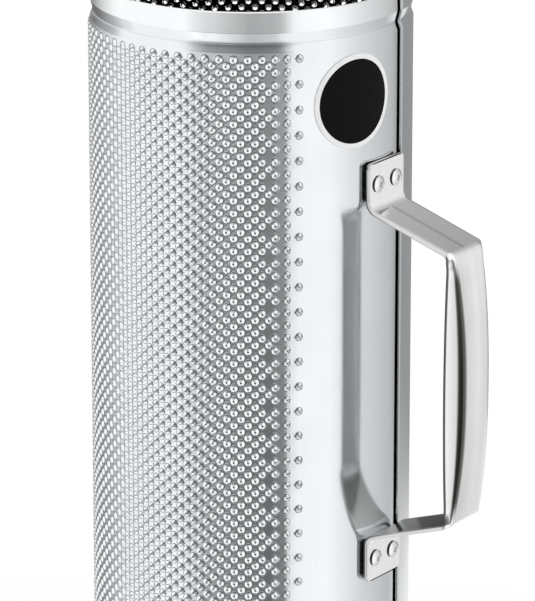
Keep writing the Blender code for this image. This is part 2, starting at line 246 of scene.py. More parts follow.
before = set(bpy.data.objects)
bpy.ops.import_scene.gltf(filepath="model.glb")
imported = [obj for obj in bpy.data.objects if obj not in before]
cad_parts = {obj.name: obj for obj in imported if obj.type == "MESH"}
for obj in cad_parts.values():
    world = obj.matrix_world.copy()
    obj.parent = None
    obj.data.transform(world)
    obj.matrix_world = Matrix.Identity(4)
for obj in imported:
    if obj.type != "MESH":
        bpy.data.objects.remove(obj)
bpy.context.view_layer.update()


def finished(shape, name, *materials, crisp=CRISP_ANGLE):
    """The bmesh as a smooth-shaded object, with edges past an angle kept crisp."""
    mesh = bpy.data.meshes.new(name)
    shape.to_mesh(mesh)
    shape.free()
    for material in materials:
        mesh.materials.append(material)
    mesh.shade_smooth()
    mesh.set_sharp_from_angle(angle=radians(crisp))
    piece = bpy.data.objects.new(name, mesh)
    bpy.context.scene.collection.objects.link(piece)
    return piece


def spread(stops, step):
    """Values from the first stop to the last, each span in equal steps no longer than step."""
    values = [stops[0]]
    for low, high in zip(stops, stops[1:]):
        count = max(1, ceil((high - low) / step - STEP_SLACK))
        values += [low + (high - low) * k / count for k in range(1, count + 1)]
    return values


def grid_at(shape, columns, rows, place, mark=None):
    """Adds a flat grid to the bmesh, with each point moved to place(column, row) and marked."""
    last_column = len(columns) - 1
    last_row = len(rows) - 1
    made = bmesh.ops.create_grid(shape, x_segments=last_column, y_segments=last_row, size=1.0)
    for point in made["verts"]:
        column = columns[round((point.co.x + 1) / 2 * last_column)]
        row = rows[round((point.co.y + 1) / 2 * last_row)]
        point.co = place(column, row)
        if mark:
            mark(point, column, row)


def turned(profile, closed, steps):
    """A solid turned about +Z from (radius, height) points, down its outer side."""
    solid = bmesh.new()
    points = [solid.verts.new((radius, 0, height)) for radius, height in profile]
    following = points[1:] + points[:1] if closed else points[1:]
    edges = [solid.edges.new(pair) for pair in zip(points, following)]
    bmesh.ops.spin(solid, geom=points + edges, axis=(0, 0, 1), cent=(0, 0, 0), steps=steps,
                   angle=2 * pi, use_merge=True)
    bmesh.ops.remove_doubles(solid, verts=solid.verts, dist=TURNED_MERGE)
    face_outwards(solid)
    return solid


def face_outwards(solid):
    """Turns the faces of a closed shape outwards."""
    bmesh.ops.recalc_face_normals(solid, faces=solid.faces)
    if solid.calc_volume(signed=True) < 0:
        bmesh.ops.reverse_faces(solid, faces=solid.faces)


# Finishes

def add_math(tree, operation, first, second):
    """A maths node of a link or number with another; returns its output."""
    node = tree.nodes.new("ShaderNodeMath")
    node.operation = operation
    for socket, value in zip(node.inputs, (first, second)):
        if isinstance(value, (int, float)):
            socket.default_value = value
        else:
            tree.links.new(value, socket)
    return node.outputs[0]


def add_range(tree, value, low, high, out_low, out_high):
    """A value moved from one range to another, held at the ends; returns the output."""
    node = tree.nodes.new("ShaderNodeMapRange")
    limits = {"From Min": low, "From Max": high, "To Min": out_low, "To Max": out_high}
    for name, number in limits.items():
        if isinstance(number, (int, float)):
            node.inputs[name].default_value = number
        else:
            tree.links.new(number, node.inputs[name])
    tree.links.new(value, node.inputs["Value"])
    return node.outputs["Result"]


def add_noise(tree, place, scale, detail, roughness):
    """Noise over a place; returns its output."""
    node = tree.nodes.new("ShaderNodeTexNoise")
    node.inputs["Scale"].default_value = scale
    node.inputs["Detail"].default_value = detail
    node.inputs["Roughness"].default_value = roughness
    tree.links.new(place, node.inputs["Vector"])
    return node.outputs["Fac"]


def add_ramp(tree, value, stops):
    """A grey ramp over a value, from (position, grey) stops; returns its colour."""
    node = tree.nodes.new("ShaderNodeValToRGB")
    elements = node.color_ramp.elements
    while len(elements) < len(stops):
        elements.new(0.5)
    for element, (position, grey) in zip(elements, stops):
        element.position = position
        element.color = (grey, grey, grey, 1)
    tree.links.new(value, node.inputs["Fac"])
    return node.outputs["Color"]


def new_group(name, inputs, outputs):
    """An empty node group with named sockets; returns its tree and its two end nodes."""
    tree = bpy.data.node_groups.new(name, "ShaderNodeTree")
    for label, kind in inputs:
        tree.interface.new_socket(label, in_out="INPUT", socket_type=kind)
    for label, kind in outputs:
        tree.interface.new_socket(label, in_out="OUTPUT", socket_type=kind)
    return tree, tree.nodes.new("NodeGroupInput"), tree.nodes.new("NodeGroupOutput")


def add_scaled(tree, colour, share):
    """A colour made darker or lighter by a share; returns the output."""
    node = tree.nodes.new("ShaderNodeVectorMath")
    node.operation = "SCALE"
    tree.links.new(colour, node.inputs[0])
    tree.links.new(share, node.inputs["Scale"])
    return node.outputs["Vector"]


def make_steel_finish():
    """Steel rolled and given a polish: fine grain along the metal, faint smudges and a slight wave."""
    tree, given, made = new_group(
        "steel_finish",
        (("Colour", "NodeSocketColor"), ("Roughness", "NodeSocketFloat"),
         ("Grain Stretch", "NodeSocketVector"), ("Grain", "NodeSocketFloat"),
         ("Smudge", "NodeSocketFloat")),
        (("Colour", "NodeSocketColor"), ("Roughness", "NodeSocketFloat"),
         ("Height", "NodeSocketFloat")))
    place = tree.nodes.new("ShaderNodeTexCoord").outputs["Object"]
    along = tree.nodes.new("ShaderNodeVectorMath")
    along.operation = "MULTIPLY"
    tree.links.new(place, along.inputs[0])
    tree.links.new(given.outputs["Grain Stretch"], along.inputs[1])
    grain = add_noise(tree, along.outputs["Vector"], scale=1.0, detail=3.0, roughness=0.6)
    smudge = add_noise(tree, place, scale=34.0, detail=4.0, roughness=0.55)
    wave = add_noise(tree, place, scale=16.0, detail=1.0, roughness=0.4)
    grain_dark = add_math(tree, "MULTIPLY", given.outputs["Grain"],
                          add_range(tree, grain, 0.3, 0.7, 0.5, -0.5))
    smudge_share = add_range(tree, smudge, 0.35, 0.75, 0.0, 1.0)
    smudge_dark = add_math(tree, "MULTIPLY", given.outputs["Smudge"], smudge_share)
    share = add_math(tree, "SUBTRACT", 1.0, add_math(tree, "ADD", grain_dark, smudge_dark))
    tree.links.new(add_scaled(tree, given.outputs["Colour"], share), made.inputs["Colour"])
    rough = add_math(tree, "ADD", given.outputs["Roughness"], smudge_dark)
    tree.links.new(add_math(tree, "ADD", rough, grain_dark), made.inputs["Roughness"])
    fine = add_math(tree, "MULTIPLY", grain, given.outputs["Grain"])
    tree.links.new(add_math(tree, "ADD", wave, fine), made.inputs["Height"])
    return tree


def make_print_finish():
    """Printed face of a badge: faint mottling, handling marks and a fine tooth."""
    tree, given, made = new_group(
        "print_finish",
        (("Colour", "NodeSocketColor"), ("Roughness", "NodeSocketFloat"),
         ("Mottle", "NodeSocketFloat")),
        (("Colour", "NodeSocketColor"), ("Roughness", "NodeSocketFloat"),
         ("Height", "NodeSocketFloat")))
    place = tree.nodes.new("ShaderNodeTexCoord").outputs["Object"]
    tooth = add_noise(tree, place, scale=2600.0, detail=2.0, roughness=0.5)
    mottle = add_noise(tree, place, scale=140.0, detail=4.0, roughness=0.6)
    mottle_share = add_range(tree, mottle, 0.3, 0.7, 0.0, 1.0)
    dark = add_math(tree, "MULTIPLY", given.outputs["Mottle"], mottle_share)
    share = add_math(tree, "SUBTRACT", 1.0, dark)
    tree.links.new(add_scaled(tree, given.outputs["Colour"], share), made.inputs["Colour"])
    tree.links.new(add_math(tree, "ADD", given.outputs["Roughness"], dark), made.inputs["Roughness"])
    tree.links.new(tooth, made.inputs["Height"])
    return tree


def new_finish(name, group, values, metallic, bump):
    """A material whose colour, roughness and relief come from a finish group."""
    material = bpy.data.materials.new(name)
    material.use_nodes = True
    tree = material.node_tree
    shader = tree.nodes["Principled BSDF"]
    shader.inputs["Metallic"].default_value = metallic
    finish = tree.nodes.new("ShaderNodeGroup")
    finish.node_tree = group
    for label, value in values.items():
        finish.inputs[label].default_value = value
    relief = tree.nodes.new("ShaderNodeBump")
    relief.inputs["Distance"].default_value = bump
    tree.links.new(finish.outputs["Colour"], shader.inputs["Base Color"])
    tree.links.new(finish.outputs["Roughness"], shader.inputs["Roughness"])
    tree.links.new(finish.outputs["Height"], relief.inputs["Height"])
    tree.links.new(relief.outputs["Normal"], shader.inputs["Normal"])
    return material


def new_steel(name, colour, roughness, stretch, grain, smudge, bump):
    """A bare steel, with its grain stretched along the way it was rolled or polished."""
    values = {"Colour": (*colour, 1), "Roughness": roughness, "Grain Stretch": stretch,
              "Grain": grain, "Smudge": smudge}
    return new_finish(name, steel_finish, values, 1.0, bump)


def new_print(name, colour, roughness, mottle):
    """A printed colour of the badge."""
    values = {"Colour": (*colour, 1), "Roughness": roughness, "Mottle": mottle}
    material = new_finish(name, print_finish, values, 0.0, PRINT_RELIEF)
    shader = material.node_tree.nodes["Principled BSDF"]
    shader.inputs["Specular IOR Level"].default_value = PRINT_GLOSS
    return material


steel_finish = make_steel_finish()
print_finish = make_print_finish()

tube_steel = new_steel("tube_steel", (0.665, 0.685, 0.70), roughness=0.13, stretch=UPRIGHT,
                       grain=0.015, smudge=0.04, bump=0.00015)
# the tube's inside: the same steel painted nearly black, as painted shade for its unlit inside
inner_shade_steel = new_steel("inner_shade_steel", (0.012, 0.012, 0.012), roughness=0.15, stretch=UPRIGHT,
                        grain=0.04, smudge=0.04, bump=0.00015)
handle_steel = new_steel("handle_steel", (0.97, 0.97, 0.97), roughness=0.15, stretch=ALONG_STRAP,
                         grain=0.05, smudge=0.05, bump=0.00008)
trough_steel = new_steel("trough_steel", (0.95, 0.95, 0.95), roughness=0.50, stretch=ALONG_STRAP,
                         grain=0.10, smudge=0.08, bump=0.00008)
rivet_steel = new_steel("rivet_steel", (0.72, 0.72, 0.72), roughness=0.24, stretch=EVEN,
                        grain=0.06, smudge=0.05, bump=0.00003)
# dark steel for the rivet head's rim: a painted shadow round the head
rivet_edge_shade = new_steel("rivet_edge_shade", (0.16, 0.16, 0.16), roughness=0.30, stretch=EVEN,
                       grain=0.06, smudge=0.05, bump=0.00003)
mandrel_steel = new_steel("mandrel_steel", (0.55, 0.55, 0.55), roughness=0.38, stretch=EVEN,
                          grain=0.10, smudge=0.08, bump=0.00003)
badge_black = new_print("badge_black", (0.003, 0.003, 0.003), roughness=0.42, mottle=0.12)
badge_white = new_print("badge_white", (0.93, 0.93, 0.93), roughness=0.40, mottle=0.04)


def tint_by(material, attribute, low, high, colour):
    """Blends a steel to another colour as a value on the mesh goes from low to high."""
    tree = material.node_tree
    finish = next(node for node in tree.nodes if node.type == "GROUP")
    value = tree.nodes.new("ShaderNodeAttribute")
    value.attribute_name = attribute
    mix = tree.nodes.new("ShaderNodeMix")
    mix.data_type = "RGBA"
    mix.inputs["A"].default_value = finish.inputs["Colour"].default_value
    if finish.inputs["Colour"].is_linked:
        tree.links.new(finish.inputs["Colour"].links[0].from_socket, mix.inputs["A"])
    mix.inputs["B"].default_value = (*colour, 1)
    share = add_range(tree, value.outputs["Fac"], low, high, 0.0, 1.0)
    tree.links.new(share, mix.inputs["Factor"])
    tree.links.new(mix.outputs["Result"], finish.inputs["Colour"])


# Each tint comes in between two values of the mark that the mesh carries
# the pits inside are painted white, a painted highlight against the nearly black inside
tint_by(inner_shade_steel, "pressed", 0.02, 0.15, PIT_PAINTED_HIGHLIGHT)
# the bumps are painted lighter as they rise: a painted highlight
tint_by(tube_steel, "pressed", 0.1, 0.6, BUMP_PAINTED_HIGHLIGHT)
# the bumps' feet are painted dark: painted shade between the bumps
tint_by(tube_steel, "pressed", 0.0, -0.6, FOOT_PAINTED_SHADE)
# the bumps' tips are painted dark: a painted reflection
tint_by(tube_steel, "pressed", 0.952, 0.98, TIP_PAINTED_REFLECTION)
# the lip is painted lighter: a painted highlight
tint_by(tube_steel, "polished", 0.0, 1.0, LIP_PAINTED_HIGHLIGHT)
# the handle is painted darker along the grip's bends, one side of its crown, the arms' middle and the
# edges: painted shade and reflections
tint_by(handle_steel, "painted_shade", 0.0, 1.0, HANDLE_PAINTED_SHADE)


# Tube

def eased(share):
    """Smooth step from 0 to 1, held at both ends."""
    return (1 - np.cos(pi * np.clip(share, 0, 1))) / 2


def lap_lift(turn):
    """Rise of the sheet's outer end over the end below it, eased down to the plain tube.

    Just before the seam the other end dips, to pass under it.
    """
    past = (turn - LAP_TURN) / EASE_TURN - LAP_FLAT_SHARE
    rise = (SHEET + LAP_GAP) * (1 - eased(past / (1 - LAP_FLAT_SHARE)))
    return rise - JOGGLE_DEPTH * eased((turn - 2 * pi) * TUBE_RADIUS / JOGGLE_WIDTH + 1)


def bead_depth(height):
    """Depth of the bead, a straight-sided groove, and of the lip's lean, alike at both ends."""
    from_end = np.minimum(height, TUBE_LENGTH - height)
    past = from_end - BEAD_CENTRE
    side = np.where(past < 0, BEAD_CENTRE - LIP_HEIGHT, BEAD_END - BEAD_CENTRE)
    reach = np.hypot(side, BEAD_ROUND)
    bead = np.maximum(reach - np.hypot(past, BEAD_ROUND), 0) / (reach - BEAD_ROUND)
    lean = np.maximum(1 - from_end / LIP_HEIGHT, 0)
    return BEAD_DEPTH * bead + LIP_LEAN * lean


def end_shift(turn):
    """Turn with the last few columns at both ends of the field drawn closer together."""
    slack = END_COLUMNS * COLUMN_TURN
    first = FIRST_COLUMN_TURN + slack
    last = FIRST_COLUMN_TURN + (COLUMNS - 1) * COLUMN_TURN - slack
    before = np.clip(first - turn, 0, slack * SQUEEZE_REACH)
    after = np.clip(turn - last, 0, slack * SQUEEZE_REACH)
    shifted = turn + (before - after) * (1 - END_SQUEEZE)
    return np.where((turn > SQUEEZE_FROM) & (turn < SQUEEZE_TO), shifted, turn)


def rolled(flat):
    """Places on the rolled sheet of flat points: x along the sheet, y up, z outwards."""
    along, up, out = flat.T
    turn = end_shift(along / TUBE_RADIUS)
    radius = TUBE_RADIUS + lap_lift(turn) - bead_depth(up) + out
    angle = SEAM_ANGLE + turn
    return np.stack((radius * np.cos(angle) + AXIS_X, radius * np.sin(angle), up), axis=1)


def plain_tile(level):
    """Diamond of flat sheet between its four neighbours, with a point at each side's middle."""
    tile = bmesh.new()
    bmesh.ops.create_circle(tile, cap_ends=True, segments=4, radius=1.0)
    bmesh.ops.scale(tile, vec=(COLUMN_PITCH / 2, ROW_PITCH / 2, 1), verts=tile.verts)
    bmesh.ops.subdivide_edges(tile, edges=tile.edges[:], cuts=1)
    bmesh.ops.translate(tile, vec=(0, 0, level), verts=tile.verts)
    return tile


def bump_tile(level, rings, peak, shift):
    """The same diamond with a bump pressed out of it, from (radius, height) rings and a peak.

    A ring above the sheet's own level is shifted up the sheet.
    """
    tile = plain_tile(level)
    bmesh.ops.delete(tile, geom=tile.faces[:], context="FACES_ONLY")
    outer = tile.edges[:]
    for radius, height in rings:
        known = set(tile.edges)
        ring = bmesh.ops.create_circle(tile, segments=BUMP_SIDES, radius=radius)["verts"]
        bmesh.ops.translate(tile, vec=(0, shift if height else 0, level + height), verts=ring)
        inner = [edge for edge in tile.edges if edge not in known]
        bmesh.ops.bridge_loops(tile, edges=outer + inner)
        outer = inner
    cap = bmesh.ops.contextual_create(tile, geom=outer)["faces"]
    bmesh.ops.recalc_face_normals(tile, faces=tile.faces)
    for face in cap:
        if face.normal.z < 0:
            bmesh.ops.reverse_faces(tile, faces=tile.faces)
    bmesh.ops.poke(tile, faces=cap, offset=peak - rings[-1][1])
    return tile


def lay(sheet, tile, column, row, columns, rows, row_step=1):
    """Adds an array of a tile to the flat sheet, from a column and a row down from the top one."""
    mesh = bpy.data.meshes.new("tile")
    tile.to_mesh(mesh)
    across = FIRST_COLUMN_TURN * TUBE_RADIUS + column * COLUMN_PITCH
    mesh.transform(Matrix.Translation((across, TOP_ROW_Z - row * ROW_PITCH, 0)))
    layer = bpy.data.objects.new("tile", mesh)
    bpy.context.scene.collection.objects.link(layer)
    for count, step in ((columns, (COLUMN_PITCH, 0, 0)), (rows, (0, -row_step * ROW_PITCH, 0))):
        array = layer.modifiers.new("rows", "ARRAY")
        array.count = count
        array.use_relative_offset = False
        array.use_constant_offset = True
        array.constant_offset_displace = step
    ready = layer.evaluated_get(bpy.context.evaluated_depsgraph_get())
    sheet.from_mesh(ready.to_mesh())
    ready.to_mesh_clear()
    bpy.data.objects.remove(layer)
    bpy.data.meshes.remove(mesh)


def lay_field(sheet, first, last, bump, plain):
    """Lays the bumped and plain diamonds of the columns from first up to last."""
    starts = first == 0
    ends = last == COLUMNS
    # full columns, with every second bump left out of the outermost ones
    begin = first + starts
    stop = last - ends
    lay(sheet, bump, begin, 0, stop - begin, ROWS)
    for column in [0] * starts + [COLUMNS - 1] * ends:
        lay(sheet, bump, column, 0, 1, (ROWS + 1) // 2, row_step=2)
        lay(sheet, plain, column, 1, 1, ROWS // 2, row_step=2)
    # staggered columns: the outer two stay plain and the third has every second bump
    begin = first + 3 * starts
    stop = last - 4 * ends
    lay(sheet, bump, begin + 0.5, 0.5, stop - begin, ROWS - 1)
    for column in [2.5] * starts + [COLUMNS - 3.5] * ends:
        lay(sheet, bump, column, 0.5, 1, ROWS // 2, row_step=2)
        lay(sheet, plain, column, 1.5, 1, ROWS // 2, row_step=2)
    for column in [0.5] * starts + [COLUMNS - 2.5] * ends:
        lay(sheet, plain, column, 0.5, 2, ROWS - 1)
    # the half diamonds round the field
    low = first - starts
    lay(sheet, plain, low + 0.5, -0.5, last - low, 1)
    lay(sheet, plain, low + 0.5, ROWS - 0.5, last - low, 1)
    for column in [-0.5] * starts + [COLUMNS - 0.5] * ends:
        lay(sheet, plain, column, 0.5, 1, ROWS - 1)
    bmesh.ops.remove_doubles(sheet, verts=sheet.verts, dist=MERGE)


def trim(sheet, place, outwards):
    """Cuts the flat sheet at a plane and drops what lies outside it."""
    geom = sheet.verts[:] + sheet.edges[:] + sheet.faces[:]
    bmesh.ops.bisect_plane(sheet, geom=geom, dist=MERGE, plane_co=place,
                           plane_no=outwards, clear_outer=True)


def flat_skin(first, last, level, rings, peak, shift):
    """One flat skin of some columns, with the plain sheet past the ends, top and bottom."""
    starts = first == 0
    ends = last == COLUMNS
    skin = bmesh.new()
    bump = bump_tile(level, rings, peak, shift)
    plain = plain_tile(level)
    lay_field(skin, first, last, bump, plain)
    bump.free()
    plain.free()
    field_start = FIRST_COLUMN_TURN * TUBE_RADIUS - COLUMN_PITCH / 2
    field_end = field_start + COLUMNS * COLUMN_PITCH
    trim(skin, (0, FIELD_TOP, 0), (0, 1, 0))
    trim(skin, (0, FIELD_BOTTOM, 0), (0, -1, 0))
    before = []
    after = []
    if starts:
        trim(skin, (field_start, 0, 0), (-1, 0, 0))
        before = spread([0, LAP_TURN * TUBE_RADIUS, field_start], PLAIN_STEP)
    if ends:
        trim(skin, (field_end, 0, 0), (1, 0, 0))
        seam = 2 * pi * TUBE_RADIUS
        after = spread([field_end, seam - JOGGLE_WIDTH], PLAIN_STEP)
        after += spread([seam - JOGGLE_WIDTH, seam], JOGGLE_STEP)[1:]
        after += spread([seam, SHEET_TURN * TUBE_RADIUS], PLAIN_STEP)[1:]
    row_places = [TOP_ROW_Z - ROW_PITCH * row for row in range(ROWS)]
    side_rows = [FIELD_BOTTOM, *reversed(row_places), FIELD_TOP]
    for columns in (before, after):
        if columns:
            grid_at(skin, columns, side_rows, lambda x, y: (x, y, level))
    column_places = [FIRST_COLUMN_TURN * TUBE_RADIUS + COLUMN_PITCH * column
                     for column in range(first, last + 1 - ends)]
    around = before + column_places + after
    half_crease = CREASE_WIDTH / 2
    bead_rows = spread([LIP_HEIGHT + BEAD_EASE, BEAD_CENTRE - half_crease, BEAD_CENTRE,
                        BEAD_CENTRE + half_crease, BEAD_END - BEAD_EASE], BEAD_STEP)
    low_rows = [0.0, RIM_EASE, LIP_HEIGHT / 2, LIP_HEIGHT - BEAD_EASE, LIP_HEIGHT, *bead_rows,
                BEAD_END, BEAD_END + BEAD_EASE, FIELD_BOTTOM]
    high_rows = [FIELD_TOP] + [TUBE_LENGTH - height for height in reversed(low_rows[:-1])]
    for rows in (low_rows, high_rows):
        grid_at(skin, around, rows, lambda x, y: (x, y, level))
    bmesh.ops.remove_doubles(skin, verts=skin.verts, dist=MERGE)
    return skin


def flat_sheet(first, last):
    """The outer and the inner skin of some columns, joined along their edges."""
    inner = flat_skin(first, last, -SHEET, DIMPLE_RINGS, DIMPLE_DEPTH, DIMPLE_SHIFT)
    for face in inner.faces:
        face.material_index = 1
    inner_mesh = bpy.data.meshes.new("inner_skin")
    inner.to_mesh(inner_mesh)
    inner.free()
    sheet = flat_skin(first, last, 0.0, BUMP_RINGS, BUMP_HEIGHT, 0.0)
    edges = [edge for edge in sheet.edges if edge.is_boundary]
    wall = bmesh.ops.extrude_edge_only(sheet, edges=edges)["geom"]
    bmesh.ops.translate(sheet, vec=(0, 0, -SHEET),
                        verts=[item for item in wall if isinstance(item, bmesh.types.BMVert)])
    sheet.from_mesh(inner_mesh)
    bpy.data.meshes.remove(inner_mesh)
    bmesh.ops.remove_doubles(sheet, verts=sheet.verts, dist=MERGE)
    # how far each point is pressed out, which sets where the sheet's painted highlights, reflections
    # and shade go
    pressed = sheet.verts.layers.float.new("pressed")
    for face in sheet.faces:
        level, peak = (-SHEET, DIMPLE_DEPTH) if face.material_index else (0.0, BUMP_HEIGHT)
        for point in face.verts:
            point[pressed] = max(point[pressed], (point.co.z - level) / peak)
    # the feet of the bumps get painted shade, for the valleys between them
    for face in sheet.faces:
        for point in face.verts:
            if face.material_index == 0 and BUMP_FOOT[0] < point[pressed] < BUMP_FOOT[1]:
                point[pressed] = FOOT_SHADE_MARK
    # the bottom of the bead gets painted shade too, and the lip past it a painted highlight
    polished = sheet.verts.layers.float.new("polished")
    for point in sheet.verts:
        from_end = min(point.co.y, TUBE_LENGTH - point.co.y)
        if abs(from_end - BEAD_CENTRE) < CREASE_WIDTH / 4:
            point[pressed] = CREASE_SHADE_MARK
        elif from_end < LIP_HEIGHT - BEAD_EASE / 2:
            point[polished] = 1.0
    return sheet


def map_sheet(mesh, low_turn, high_turn):
    """Lays the sheet out in a UV map: outer skin, inner skin and the cut edges between."""
    place = np.empty(len(mesh.vertices) * 3, dtype=np.float32)
    mesh.vertices.foreach_get("co", place)
    corner = np.empty(len(mesh.loops), dtype=np.int32)
    mesh.loops.foreach_get("vertex_index", corner)
    sides = np.empty(len(mesh.polygons), dtype=np.int32)
    mesh.polygons.foreach_get("loop_total", sides)
    normal = np.empty(len(mesh.polygons) * 3, dtype=np.float32)
    mesh.polygons.foreach_get("normal", normal)
    normal = np.repeat(normal.reshape(-1, 3), sides, axis=0)
    x, y, z = place.reshape(-1, 3)[corner].T
    reach = np.hypot(x - AXIS_X, y)
    middle = (low_turn + high_turn) / 2
    turn = np.arctan2(y, x - AXIS_X) - SEAM_ANGLE - middle
    turn = (turn + pi) % (2 * pi) - pi + middle
    around = (turn - low_turn) / (high_turn - low_turn)
    up = z / TUBE_LENGTH
    depth = (reach - TUBE_RADIUS + SHEET) / SHEET
    facing = (normal[:, 0] * (x - AXIS_X) + normal[:, 1] * y) / reach
    cut = np.abs(facing) < CUT_FACING
    rim = cut & (np.abs(normal[:, 2]) > RIM_FACING)
    u = np.where(facing > 0, MAP_EDGE, MAP_INNER_SKIN) + MAP_SKIN * around
    side_cut = np.where(around > 0.5, MAP_SIDE_CUTS[1], MAP_SIDE_CUTS[0])
    u = np.where(cut, side_cut + MAP_CUT * depth, u)
    rim_cut = np.where(up > 0.5, MAP_RIM_CUTS[1], MAP_RIM_CUTS[0])
    u = np.where(rim, rim_cut + MAP_CUT * depth, u)
    v = MAP_EDGE + (1 - 2 * MAP_EDGE) * np.where(rim, around, up)
    layer = mesh.uv_layers.new(name="OFBake")
    layer.data.foreach_set("uv", np.stack((u, v), axis=1).astype(np.float32).ravel())


def soften(sheet, edges, width, steps):
    """Chamfers some edges of a shape, or rounds them off in steps."""
    if edges:
        bmesh.ops.bevel(sheet, geom=edges, offset=width, offset_type="OFFSET", affect="EDGES",
                        segments=steps, profile=0.5, material=-1)


def tube_piece(name, first, last):
    """Part of the tube from one column up to another, rolled from its flat sheet."""
    sheet = flat_sheet(first, last)
    flat = np.array([point.co[:] for point in sheet.verts])

    def lies_at(edge, axis, *values):
        """Whether both ends of an edge lie at one of the values along an axis."""
        return all(min(abs(point.co[axis] - value) for value in values) < ALIKE
                   for point in edge.verts)

    outer_edges = [edge for edge in sheet.edges if lies_at(edge, 2, 0.0)]
    lap_edges = [edge for edge in outer_edges if lies_at(edge, 0, 0.0)]
    rim_edges = [edge for edge in outer_edges if lies_at(edge, 1, 0.0, TUBE_LENGTH)]
    for point, place in zip(sheet.verts, rolled(flat)):
        point.co = place
    face_outwards(sheet)
    soften(sheet, rim_edges, RIM_CHAMFER, 1)
    soften(sheet, [edge for edge in lap_edges if edge.is_valid], LAP_BEVEL, BEVEL_STEPS)
    piece = finished(sheet, name, tube_steel, inner_shade_steel, crisp=TUBE_CRISP_ANGLE)
    map_sheet(piece.data, flat[:, 0].min() / TUBE_RADIUS, flat[:, 0].max() / TUBE_RADIUS)
    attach(piece, "root")
    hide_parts("tube")


for part, name in enumerate(("tube_far_side", "tube_back", "tube_left_side", "tube_near_side")):
    tube_piece(name, part * PIECE_COLUMNS, (part + 1) * PIECE_COLUMNS)


# Handle

def bend_points(corner, radius, start, end):
    """Arc of a strap bend from one heading to another, as (out, up) points and headings."""
    turn = end - start
    back = radius * tan(abs(turn) / 2)
    side = 1 if turn > 0 else -1
    begin = (corner[0] - back * cos(start), corner[1] - back * sin(start))
    centre = (begin[0] - side * radius * sin(start), begin[1] + side * radius * cos(start))
    points = []
    for step in range(BEND_STEPS + 1):
        heading = start + turn * step / BEND_STEPS
        out = centre[0] + side * radius * sin(heading)
        up = centre[1] - side * radius * cos(heading)
        points.append((out, up, heading))
    return points


def half_section(share, depth):
    """Half of the strap's section, as (across, below the crown) points from the middle outwards.

    The share goes from 0 on the flat strap to 1 at mid grip, where the edges are folded down
    to flanks. The bend curls up and grows longer as the flank grows. The depth is that of the
    skin below the strap's outer face. Also gives the rise of the crown.
    """
    swell = 1 - (1 - share) ** GRIP_SWELL
    crown = CROWN_ANGLE * swell
    fold = FOLD_ANGLE * sin(pi / 2 * min(1, share / GRIP_FULL_FOLD))
    lengths = [(FLAT_LENGTH + (CROWN_LENGTH - FLAT_LENGTH) * swell) / CROWN_STEPS] * CROWN_STEPS
    lengths += [(BEND_LEAST + (BEND_LENGTH - BEND_LEAST) * swell) / BEND_STEPS] * BEND_STEPS
    lengths += [FLANK_LEAST + (GRIP_FLANK - STRAP_EDGE - FLANK_LEAST) * swell, STRAP_EDGE]
    tilts = [crown * (step + 0.5) / CROWN_STEPS for step in range(CROWN_STEPS)]
    tilts += [crown + fold * (step + 0.5) / BEND_STEPS for step in range(BEND_STEPS)]
    tilts += [crown + fold] * 2
    points = [(0.0, 0.0)]
    for length, tilt in zip(lengths, tilts):
        points.append((points[-1][0] + length * cos(tilt), points[-1][1] + length * sin(tilt)))
    facing = [0.0] + [(before + after) / 2 for before, after in zip(tilts, tilts[1:])] + tilts[-1:]
    section = [(across - depth * sin(tilt), below + depth * cos(tilt))
               for (across, below), tilt in zip(points, facing)]
    return section, GRIP_BULGE * (1 - (1 - share) ** GRIP_RISE)


def strap_stations():
    """Stations along the upper half of the strap: (out, up, heading, width share, grip share)."""
    down = -pi / 2
    slope = -radians(ARM_SLOPE)
    foot_bottom = HANDLE_TOP - FOOT_HEIGHT
    arm_drop = (GRIP_FACE - FOOT_FACE) * tan(radians(ARM_SLOPE))
    stations = []
    for step in range(BEND_STEPS + 1):
        angle = pi / 2 * step / BEND_STEPS
        up = HANDLE_TOP - FOOT_CORNER * (1 - cos(angle))
        width = 1 - FOOT_CORNER * (1 - sin(angle)) / (HANDLE_WIDTH / 2)
        stations.append((FOOT_FACE, up, down, width, 0.0))
    for out, up, heading in bend_points((FOOT_FACE, foot_bottom), FOOT_BEND, down, slope):
        stations.append((out, up, heading, 1.0, 0.0))
    outer_bend = ARM_INNER_BEND + HANDLE_THICKNESS
    corner = bend_points((GRIP_FACE, foot_bottom - arm_drop), outer_bend, slope, down)
    for step, (out, up, heading) in enumerate(corner):
        stations.append((out, up, heading, 1.0, GRIP_START * step / BEND_STEPS))
    grip_top = stations[-1][1]
    for step in range(1, GRIP_STEPS + 1):
        share = step / GRIP_STEPS
        grip_share = GRIP_START + (1 - GRIP_START) * share
        stations.append((GRIP_FACE, grip_top * (1 - share), down, 1.0, grip_share))
    return stations


